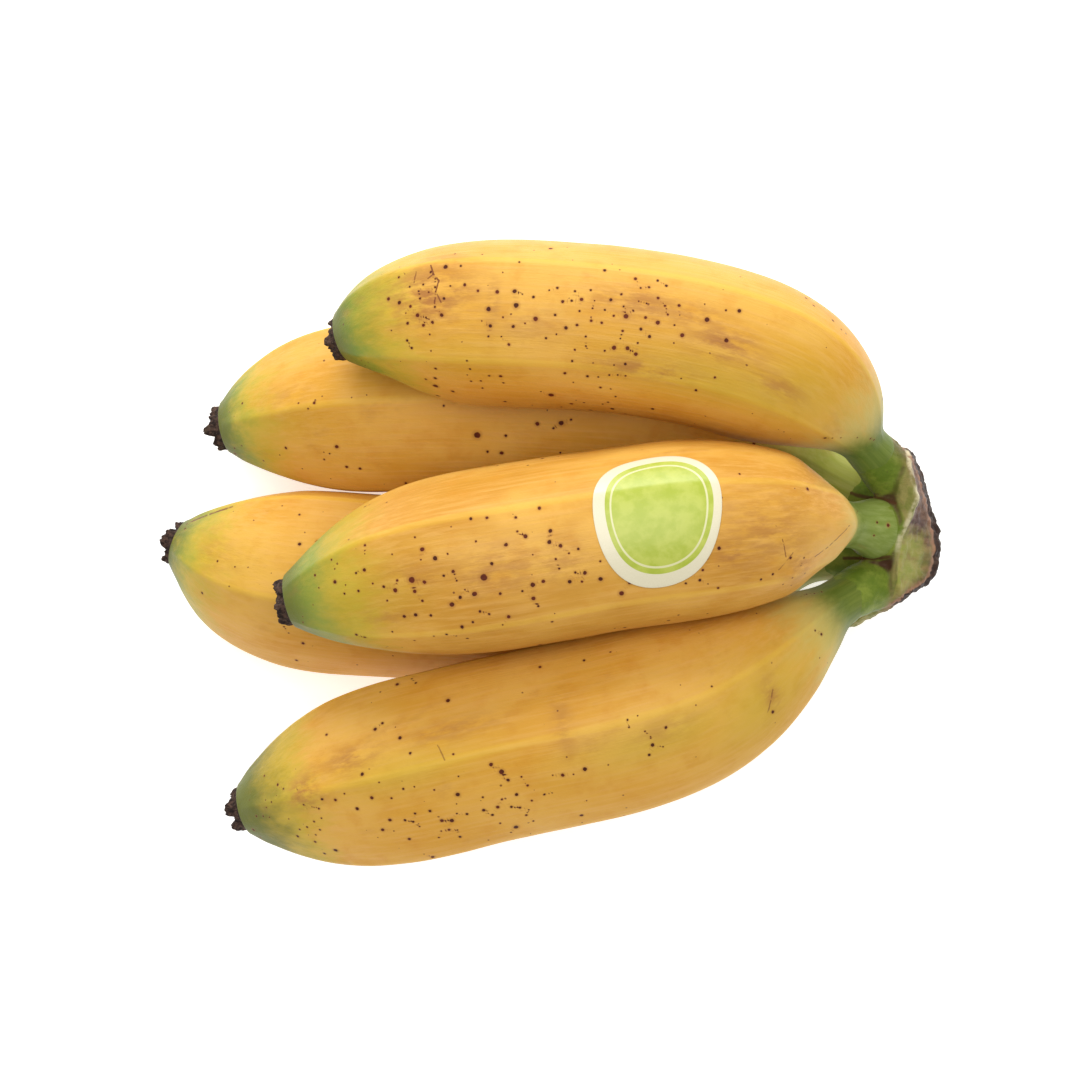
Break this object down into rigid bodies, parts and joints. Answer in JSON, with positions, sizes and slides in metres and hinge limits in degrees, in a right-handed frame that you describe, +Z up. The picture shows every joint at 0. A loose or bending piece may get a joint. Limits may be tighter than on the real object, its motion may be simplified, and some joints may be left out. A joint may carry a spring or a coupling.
{
  "type": "hand of baby bananas",
  "caption": "Hand of ripe baby bananas, cut from the bunch and lying palm down: short plump fingers joined by green stalks to a cut crown, with dried blossom ends and a small plain label.",
  "frame": {"origin": "on the surface that the hand lies on, under the middle of its bounding box", "axes": "+X towards the crown, with the blossom ends to -X; +Z up; +Y is the hand's left, seen from the blossom ends"},
  "size_m": [0.1476, 0.1144, 0.0643],
  "materials": {
    "banana_peel": "ripe golden yellow banana peel, waxy satin, green towards both ends, with small red-brown freckles",
    "crown_skin": "green and tan fibrous skin, satin, with a dry brown cut face",
    "dried_blossom": "dry near-black brown, rough and frayed",
    "label_film": "smooth glossy printed label, plain green with a pale rim and no lettering"
  },
  "bodies": {
    "root": {"banana_upper_left": "banana_peel", "banana_upper_middle": "banana_peel", "banana_upper_right": "banana_peel", "banana_lower_left": "banana_peel", "banana_lower_right": "banana_peel", "crown": "crown_skin", "fruit_label": "label_film"}
  },
  "joints": []
}
